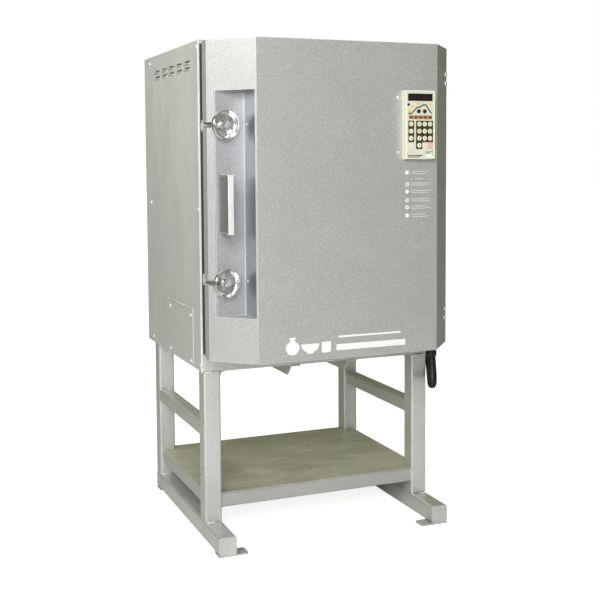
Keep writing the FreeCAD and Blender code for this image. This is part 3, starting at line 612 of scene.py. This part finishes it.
def spline(ctrl, per=24):
    """Smooth curve through the control points."""
    pts = [ctrl[0]]
    for i in range(1, len(ctrl)):
        p0 = ctrl[max(0, i - 2)]
        p1, p2 = ctrl[i - 1], ctrl[i]
        p3 = ctrl[min(len(ctrl) - 1, i + 1)]
        for k in range(1, per + 1):
            t = k / per
            pts.append(0.5 * ((2 * p1) + (p2 - p0) * t + (2 * p0 - 5 * p1 + 4 * p2 - p3) * t * t
                              + (3 * p1 - p0 - 3 * p2 + p3) * t ** 3))
    return pts


def evenly(pts, step):
    fine = []
    carry = 0.0
    for a, b in zip(pts, pts[1:]):
        seg = (b - a).length
        s = carry
        while s < seg:
            fine.append(a.lerp(b, s / seg))
            s += step
        carry = s - seg
    return fine


# corrugated hose from the underside of the door into the right side of the cabinet
HOSE = [(0.298, -0.125, 0.526), (0.301, -0.124, 0.488), (0.307, -0.118, 0.446), (0.317, -0.100, 0.415),
        (0.334, -0.064, 0.406), (0.355, -0.022, 0.418), (0.374, 0.022, 0.452), (0.384, 0.066, 0.495),
        (0.378, 0.104, 0.538), (0.364, 0.120, 0.566), (0.349, 0.121, 0.573)]
path = evenly(spline([Vector((x, F + y, z)) for x, y, z in HOSE]), 0.0011)
bm = bmesh.new()
sweep(bm, path, lambda i: 0.0112 + 0.0012 * math.cos(2 * math.pi * i / 4), 18)
hose = new_mesh("door_conduit", bm, M["conduit_black"], None)
smooth(hose, 60)
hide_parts("door_cable")
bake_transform(hose)


def gland(name, centre, axis, body):
    """Screwed gland with its hexagon nut where the hose enters sheet metal."""
    axis = Vector(axis)
    bm = bmesh.new()
    lathe(bm, centre, axis, [(0.0112, 0.0), (0.0175, 0.0), (0.0175, 0.002), (0.0150, 0.0025), (0.0150, 0.016),
                             (0.0158, 0.0165), (0.0158, 0.030), (0.0136, 0.033), (0.0112, 0.033)], 36)
    o = new_mesh(name, bm, M["conduit_black"], body)
    smooth(o, 30)
    bm = bmesh.new()
    turn = Vector((0, 0, 1)).rotation_difference(axis).to_matrix().to_4x4()
    place = Matrix.Translation(Vector(centre) + axis * 0.0065) @ turn
    bmesh.ops.create_cone(bm, cap_ends=True, segments=6, radius1=0.0190, radius2=0.0190, depth=0.007, matrix=place)
    bmesh.ops.bevel(bm, geom=bm.edges[:], offset=0.0008, segments=2, affect="EDGES")
    o = new_mesh(name + "_nut", bm, M["conduit_black"], body)
    smooth(o, 30)


gland("door_gland", (0.298, F - 0.125, 0.5335), (0, 0, -1), "door")
gland("cabinet_gland", (0.358, F + 0.1215, 0.5725), (0.94, 0.0, -0.342), "cabinet")


# ------------------------------------------------------------------ controller print

CX, CZ = 0.1655, 1.259
CY = F - 0.220


def px(a):
    """Place across the controller face, from the print grid in mm."""
    return CX + (a * 1.017 + 1.0) / 1000


def pz(b):
    """Height of a print grid line b mm below the top of the controller."""
    return CZ - b * 1.02 / 1000


def face_slab(name, rects, mat, proud=0.00025, depth=0.0002):
    bm = bmesh.new()
    for a0, a1, b0, b1 in rects:
        slab(bm, px(a0), px(a1), CY - proud, CY + depth, pz(b1), pz(b0))
    return new_mesh(name, bm, mat, "door")


def plate_with_holes(name, rect, holes, mat, proud=0.0003):
    """Thin printed panel with clear rings left open around the keys."""
    a0, a1, b0, b1 = rect
    bm = bmesh.new()
    slab(bm, px(a0), px(a1), CY - proud, CY + 0.0003, pz(b1), pz(b0))
    plate = new_mesh(name, bm, mat, "door")
    bm = bmesh.new()
    for a, b, w, h in holes:
        mtx = Matrix.Translation((px(a), CY, pz(b))) @ Matrix.Diagonal((w / 1000, 1, h / 1000, 1))
        mtx = mtx @ Matrix.Rotation(math.pi / 2, 4, "X")
        bmesh.ops.create_cone(bm, cap_ends=True, segments=32, radius1=1.0, radius2=1.0, depth=0.01, matrix=mtx)
    me = bpy.data.meshes.new(name + "_cut")
    bm.to_mesh(me)
    bm.free()
    cutter = bpy.data.objects.new(name + "_cut", me)
    scene.collection.objects.link(cutter)
    mod = plate.modifiers.new("holes", "BOOLEAN")
    mod.object = cutter
    mod.solver = "EXACT"
    bpy.context.view_layer.update()
    dg = bpy.context.evaluated_depsgraph_get()
    cut = bpy.data.meshes.new_from_object(plate.evaluated_get(dg))
    plate.modifiers.clear()
    plate.data = cut
    bpy.data.objects.remove(cutter)
    return plate


ROWS = (90, 109, 128)
left_keys = [(14.1, b, 6.7, 6.7) for b in ROWS]
grid_keys = [(a, b, 6.7, 6.7) for a in (39.0, 55.3, 71.6) for b in ROWS]
plate_with_holes("panel_left_keys", (5.6, 23.2, 81, 138.6), left_keys, INK_BLACK)
plate_with_holes("panel_grid_keys", (29, 81, 81, 138.6), grid_keys, INK_BLACK)
plate_with_holes("panel_lone_key", (29, 48, 138.6, 157), [(39.0, 147, 6.7, 6.7)], INK_BLACK)
oval_keys = [(14.1 + 14.4 * i, 72, 6.5, 4.5) for i in range(5)]
plate_with_holes("panel_band", (6.8, 78, 66.5, 77.5), oval_keys, INK_ORANGE)
LABELS = [(57.5, 78, 171.4, 178.7), (9, 20, 145, 146.3), (9, 18, 148.5, 149.8)]
face_slab("panel_labels", LABELS, INK_WHITE)
face_slab("panel_marks", [(59, 65, 163.5, 165.2), (67, 72, 163.5, 165.2), (74, 81, 163.5, 165.2), (59, 70, 166.8, 168.2),
                          (4, 49, 173.5, 176.2), (4, 41, 178.0, 179.6)], INK_OLIVE)


def key_marks():
    """Plain horizontal and vertical dashes standing in for the marks on the keys."""
    places = [(14.1, b) for b in ROWS] + [(a, b) for b in ROWS for a in (39.0, 55.3, 71.6)] + [(39.0, 147.0)]
    for n, (a, b) in enumerate(places, 1):
        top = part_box("key_%02d" % n)[0][1]
        bm = bmesh.new()
        x, z = px(a), pz(b)
        if n <= 3:
            slab(bm, x - 0.0027, x + 0.0027, top - 0.00012, top + 0.0001, z - 0.0007, z + 0.0007)
        else:
            slab(bm, x - 0.0008, x + 0.0008, top - 0.00012, top + 0.0001, z - 0.0030, z + 0.0030)
        new_mesh("key_mark_%02d" % n, bm, INK_OLIVE, "key_%02d" % n)


key_marks()


def polyline(name, pts, width, mat):
    bm = bmesh.new()
    for (a0, b0), (a1, b1) in zip(pts, pts[1:]):
        a0, a1, b0, b1 = (px(a0) - CX) * 1000, (px(a1) - CX) * 1000, (CZ - pz(b0)) * 1000, (CZ - pz(b1)) * 1000
        d = Vector((a1 - a0, 0, -(b1 - b0)))
        n = Vector((-d.z, 0, d.x)).normalized() * (width / 2)
        base = [Vector((a0, 0, -b0)), Vector((a1, 0, -b1))]
        quad = [base[0] - n, base[1] - n, base[1] + n, base[0] + n]
        low = [bm.verts.new(Vector((CX, CY + 0.0002, CZ)) + q / 1000) for q in quad]
        top = [bm.verts.new(Vector((CX, CY - 0.0003, CZ)) + q / 1000) for q in quad]
        bm.faces.new(low)
        bm.faces.new(top[::-1])
        for k in range(4):
            bm.faces.new((low[k], top[k], top[(k + 1) % 4], low[(k + 1) % 4]))
    bmesh.ops.recalc_face_normals(bm, faces=bm.faces)
    return new_mesh(name, bm, mat, "door")


CURVE = [(4.7, 62), (15, 62), (22.3, 55.2), (33.2, 44.9), (39.9, 44.9), (53.1, 37.8), (59.6, 38.9), (66.3, 49.8), (73.7, 59),
         (78.1, 61)]
polyline("panel_curve", CURVE, 3.5, INK_OLIVE)
AMBERS = [(18.5, 43), (34.9, 35.6), (72.2, 36.7), (9.1, 55.2)]
face_slab("panel_ambers", [(a - 4.4, a + 4.4, b - 2.5, b + 2.5) for a, b in AMBERS], INK_AMBER)

# unlit seven-segment digits behind the window
SEG = plastic("display_segments", (0.045, 0.014, 0.010), 0.3)
bm = bmesh.new()
for d in range(6):
    ox = CX + 0.0140 + d * 0.0108
    oz = CZ - 0.0145
    w, h, t = 0.0052, 0.0046, 0.0009
    for dx, dz, hor in ((0, 0, 1), (0, -h, 1), (0, -2 * h, 1), (0, 0, 0), (w, 0, 0), (0, -h, 0), (w, -h, 0)):
        if hor:
            slab(bm, ox + t, ox + w, CY + 0.00025, CY + 0.0006, oz + dz - t / 2, oz + dz + t / 2)
        else:
            slab(bm, ox + dx, ox + dx + t, CY + 0.00025, CY + 0.0006, oz + dz - h + t, oz + dz - t)
new_mesh("display_digits", bm, SEG, "door")

# window frame round the display
bm = bmesh.new()
for a0, a1, b0, b1 in ((5.6, 81.3, 9.0, 10), (5.6, 81.3, 28, 29.0), (5.6, 6.6, 10, 28), (80.3, 81.3, 10, 28)):
    slab(bm, CX + a0 / 1000, CX + a1 / 1000, CY - 0.0009, CY + 0.0002, CZ - b1 / 1000, CZ - b0 / 1000)
new_mesh("display_frame", bm, INK_BLACK, "door")

# slightly raised border round the controller's face
bm = bmesh.new()
CW, CH = 0.0895, 0.187
for a0, a1, b0, b1 in ((0.0006, 0.0034, 0.0006, CH - 0.0006), (CW - 0.0034, CW - 0.0006, 0.0006, CH - 0.0006),
                       (0.0034, CW - 0.0034, 0.0006, 0.0034), (0.0034, CW - 0.0034, CH - 0.0034, CH - 0.0006)):
    slab(bm, CX + a0, CX + a1, CY - 0.0009, CY + 0.0002, CZ - b1, CZ - b0)
bmesh.ops.bevel(bm, geom=bm.edges[:], offset=0.0003, segments=1, affect="EDGES")
new_mesh("controller_rim", bm, RIM_CREAM, "door")

# small receiver lens left of the curve
bm = bmesh.new()
LENS = [(0.0, -0.0002), (0.0038, -0.0002), (0.0038, 0.0005), (0.003, 0.0011), (0.0, 0.0014)]
lathe(bm, (px(6.2), CY, pz(38.3)), (0, -1, 0), LENS, 24)
lens = new_mesh("controller_lens", bm, M["key_green"], "door")
smooth(lens, 50)


# ------------------------------------------------------------------ front edges of the cabinet: painted highlight strips, painted gap shadows and painted shade behind the louvres

for s, side in ((-1, "left"), (1, "right")):
    # near-white strip on the front edge: a painted highlight
    bm = bmesh.new()
    x0, x1 = sorted((s * 0.3583, s * 0.3525))
    slab(bm, x0, x1, F - 0.0016, F, 0.4825, 1.3980)
    bmesh.ops.bevel(bm, geom=bm.edges[:], offset=0.0006, segments=2, affect="EDGES")
    new_mesh("front_edge_" + side, bm, HIGHLIGHT_WHITE, "cabinet")
    # dark strip in the gap between door and cabinet: a painted shadow
    bm = bmesh.new()
    x0, x1 = sorted((s * 0.3525, s * 0.3440))
    slab(bm, x0, x1, F - 0.0008, F, 0.5340, 1.3890)
    new_mesh("gap_shadow_" + side, bm, GAP_SHADOW, "cabinet")
    # dark sheet behind the louvre slots: painted shade where there is only an air gap
    bm = bmesh.new()
    x0, x1 = sorted((s * 0.3485, s * 0.3480))
    slab(bm, x0, x1, F + 0.081, F + 0.487, 1.304, 1.370)
    new_mesh("louvre_shade_" + side, bm, LOUVRE_SHADE, "cabinet")


# folded lip along the top of the access cover, painted near-white as a highlight
cover_lo, cover_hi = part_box("access_cover")
bm = bmesh.new()
slab(bm, -0.3612, -0.3588, cover_lo.y + 0.004, cover_hi.y - 0.002, cover_hi.z - 0.0008, cover_hi.z + 0.0026)
bmesh.ops.bevel(bm, geom=bm.edges[:], offset=0.0009, segments=2, affect="EDGES")
new_mesh("cover_lip_highlight", bm, HIGHLIGHT_WHITE, "cabinet")


# ------------------------------------------------------------------ smooth plate on the pocket's right wall

plate_lo, plate_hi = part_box("door_pocket")
WALL_X = -0.263
bm = bmesh.new()
slab(bm, WALL_X - 0.0006, WALL_X + 0.0002, F - 0.1955, F - 0.1150, plate_lo[2] + 0.006, plate_hi[2] - 0.006)
bmesh.ops.bevel(bm, geom=bm.edges[:], offset=0.0002, segments=1, affect="EDGES")
PLATE = polished("plate_steel", (0.42, 0.44, 0.475), 0.30)
new_mesh("pocket_plate", bm, PLATE, "door")


# ------------------------------------------------------------------ plain pictograms on the door

DY = F - 0.200


ICON_Z = (1.0347, 1.0027, 0.9821, 0.9586, 0.9386, 0.9159)
BAR_WIDTHS = (0.058, 0.050, 0.060, 0.046, 0.061, 0.052, 0.057)
BAR_X = 0.1925
PRINT = 0.00022


def icon_column():
    """Small round marks with plain bars beside them, under the controller."""
    bm = bmesh.new()
    lines = bmesh.new()
    for i, z in enumerate(ICON_Z):
        hollow = 0.0030 if i in (1, 3, 4) else 0.0004
        ring = [(hollow, -0.0001), (0.0056, -0.0001), (0.0056, 0.00022), (hollow, 0.00022)]
        lathe(bm, (0.1790, DY, z), (0, -1, 0), ring, 28)
        for k in range(2):
            w = BAR_WIDTHS[(i * 2 + k * 3) % 7]
            mid = z + 0.0030 - k * 0.0060
            slab(lines, BAR_X, BAR_X + w, DY - PRINT, DY + 0.0001, mid - 0.0010, mid + 0.0010)
    slab(lines, 0.203, 0.229, DY - PRINT, DY + 0.0001, 1.0160, 1.0182)
    new_mesh("door_pictogram_lines", lines, INK_FAINT, "door")
    return new_mesh("door_pictograms", bm, INK_WHITE, "door")


icon_column()


def flat_shape(bm, loop):
    """Thin printed shape on the door from a closed outline of (x, z) points."""
    low = [bm.verts.new((x, DY + 0.0001, z)) for x, z in loop]
    top = [bm.verts.new((x, DY - PRINT, z)) for x, z in loop]
    bm.faces.new(low)
    bm.faces.new(top[::-1])
    n = len(loop)
    for k in range(n):
        bm.faces.new((low[k], top[k], top[(k + 1) % n], low[(k + 1) % n]))


def pot_mark(bm, cx, cz, h, prof):
    """Flat silhouette of a simple pot of height h."""
    right = [(cx + x * h, cz + z * h) for x, z in prof]
    flat_shape(bm, right + [(2 * cx - x, z) for x, z in reversed(right)])


VASE = [(0.20, 0.0), (0.24, 0.05), (0.36, 0.20), (0.43, 0.36), (0.42, 0.50), (0.33, 0.64), (0.18, 0.74), (0.13, 0.80),
        (0.13, 0.88), (0.24, 1.0)]
BOWL = [(0.20, 0.0), (0.20, 0.07), (0.38, 0.16), (0.54, 0.32), (0.62, 0.52), (0.64, 0.62)]
MUG = [(0.30, 0.0), (0.36, 0.06), (0.38, 0.30), (0.38, 0.78), (0.42, 0.80)]


def door_mark():
    """Generic decoration low on the door: three pots and two plain bands."""
    bm = bmesh.new()
    pot_mark(bm, -0.1640, 0.5530, 0.046, VASE)
    pot_mark(bm, -0.1130, 0.5530, 0.042, BOWL)
    pot_mark(bm, -0.0660, 0.5530, 0.036, MUG)
    slab(bm, -0.0360, 0.1740, DY - PRINT, DY + 0.0001, 0.5560, 0.5725)
    slab(bm, -0.0300, 0.1590, DY - PRINT, DY + 0.0001, 0.5905, 0.5955)
    bmesh.ops.recalc_face_normals(bm, faces=bm.faces)
    return new_mesh("door_mark", bm, INK_WHITE, "door")


door_mark()


# ------------------------------------------------------------------ stage

def stage_set():
    bpy.ops.mesh.primitive_plane_add(size=60.0, location=(0, 0, -0.0005))
    floor = bpy.context.object
    floor.name = "floor"
    m = Mat("floor_paint", (0.84, 0.84, 0.83), 0.75)
    m.shade(m.noise(2.0, 2.0), 0.99, 1.01)
    eye = m.node("ShaderNodeLightPath")
    glow = m.node("ShaderNodeMath", operation="MULTIPLY")
    far = m.node("ShaderNodeVectorMath", operation="LENGTH")
    m.link(m.co, far.inputs[0])
    fade = m.node("ShaderNodeMapRange")
    for key, value in (("From Min", 0.4), ("From Max", 3.0), ("To Min", 0.80), ("To Max", 1.10)):
        fade.inputs[key].default_value = value
    m.link(far.outputs["Value"], fade.inputs["Value"])
    m.link(eye.outputs["Is Camera Ray"], glow.inputs[0])
    m.link(fade.outputs["Result"], glow.inputs[1])
    m.p.inputs["Emission Color"].default_value = (1.0, 1.0, 1.0, 1.0)
    m.link(glow.outputs["Value"], m.p.inputs["Emission Strength"])
    floor.data.materials.append(m.m)


def studio_world():
    """White backdrop for the eye; a dim even room for the light, neutral in front and olive behind."""
    world = bpy.data.worlds.new("studio")
    scene.world = world
    world.use_nodes = True
    t = world.node_tree
    out = t.nodes["World Output"]
    bg = t.nodes["Background"]
    co = t.nodes.new("ShaderNodeTexCoord")
    toward = t.nodes.new("ShaderNodeVectorMath")
    toward.operation = "DOT_PRODUCT"
    toward.inputs[1].default_value = Vector((-0.30, -0.92, 0.25)).normalized()
    t.links.new(co.outputs["Generated"], toward.inputs[0])
    ramp = t.nodes.new("ShaderNodeMapRange")
    ramp.inputs["From Min"].default_value = -1.0
    ramp.inputs["From Max"].default_value = 1.0
    t.links.new(toward.outputs["Value"], ramp.inputs["Value"])
    hue = t.nodes.new("ShaderNodeValToRGB")
    hue.color_ramp.elements[0].position = 0.35
    hue.color_ramp.elements[0].color = (0.94, 0.96, 0.50, 1.0)
    hue.color_ramp.elements[1].position = 0.85
    hue.color_ramp.elements[1].color = (0.98, 0.98, 1.0, 1.0)
    t.links.new(ramp.outputs["Result"], hue.inputs["Fac"])
    t.links.new(hue.outputs["Color"], bg.inputs["Color"])
    bg.inputs["Strength"].default_value = 0.19
    white = t.nodes.new("ShaderNodeBackground")
    white.inputs["Color"].default_value = (1.0, 1.0, 1.0, 1.0)
    white.inputs["Strength"].default_value = 1.0
    eye = t.nodes.new("ShaderNodeLightPath")
    pick = t.nodes.new("ShaderNodeMixShader")
    t.links.new(eye.outputs["Is Camera Ray"], pick.inputs["Fac"])
    t.links.new(bg.outputs["Background"], pick.inputs[1])
    t.links.new(white.outputs["Background"], pick.inputs[2])
    t.links.new(pick.outputs["Shader"], out.inputs["Surface"])


def area(name, loc, target, size, power, color=(1, 1, 1)):
    light = bpy.data.lights.new(name, "AREA")
    light.shape = "RECTANGLE"
    light.size, light.size_y = size
    light.energy = power
    light.color = color
    o = bpy.data.objects.new(name, light)
    scene.collection.objects.link(o)
    o.location = loc
    o.rotation_euler = (Vector(target) - Vector(loc)).to_track_quat("-Z", "Y").to_euler()
    return o


stage_set()
studio_world()
area("key_softbox", (-2.0, -3.7, 2.3), (0, -0.2, 0.9), (2.3, 2.3), 165)
area("left_softbox", (-3.3, -1.55, 2.2), (-0.3, -0.3, 1.2), (1.0, 1.0), 20)
side = area("side_softbox", (-1.9, 0.25, 2.6), (-0.36, 0.08, 1.36), (0.6, 0.6), 1.5)
side.data.spread = math.radians(50)
scene.view_settings.view_transform = "Standard"


# ------------------------------------------------------------------ camera

def aim(loc, yaw, pitch, roll):
    cy, sy = math.cos(yaw), math.sin(yaw)
    fwd = Vector((sy * math.cos(pitch), cy * math.cos(pitch), math.sin(pitch)))
    right = Vector((cy, -sy, 0.0))
    up = right.cross(fwd)
    r2 = right * math.cos(roll) + up * math.sin(roll)
    u2 = -right * math.sin(roll) + up * math.cos(roll)
    m = Matrix((r2, u2, -fwd)).transposed().to_4x4()
    m.translation = Vector(loc)
    return m


FOCAL_PX, SHIFT_PX, PICTURE_PX = 1034.3, -70.0, 600
cam_data = bpy.data.cameras.new("camera")
cam = bpy.data.objects.new("camera", cam_data)
scene.collection.objects.link(cam)
cam_data.sensor_fit = "VERTICAL"
cam_data.sensor_height = 36.0
cam_data.sensor_width = 28.5
cam_data.lens = FOCAL_PX / PICTURE_PX * cam_data.sensor_height
cam_data.shift_y = SHIFT_PX / PICTURE_PX
cam_data.clip_end = 100.0
cam.matrix_world = aim((-1.172, -2.940, 1.073), math.radians(22.157), math.radians(-3.913), math.radians(-0.356))
scene.camera = cam
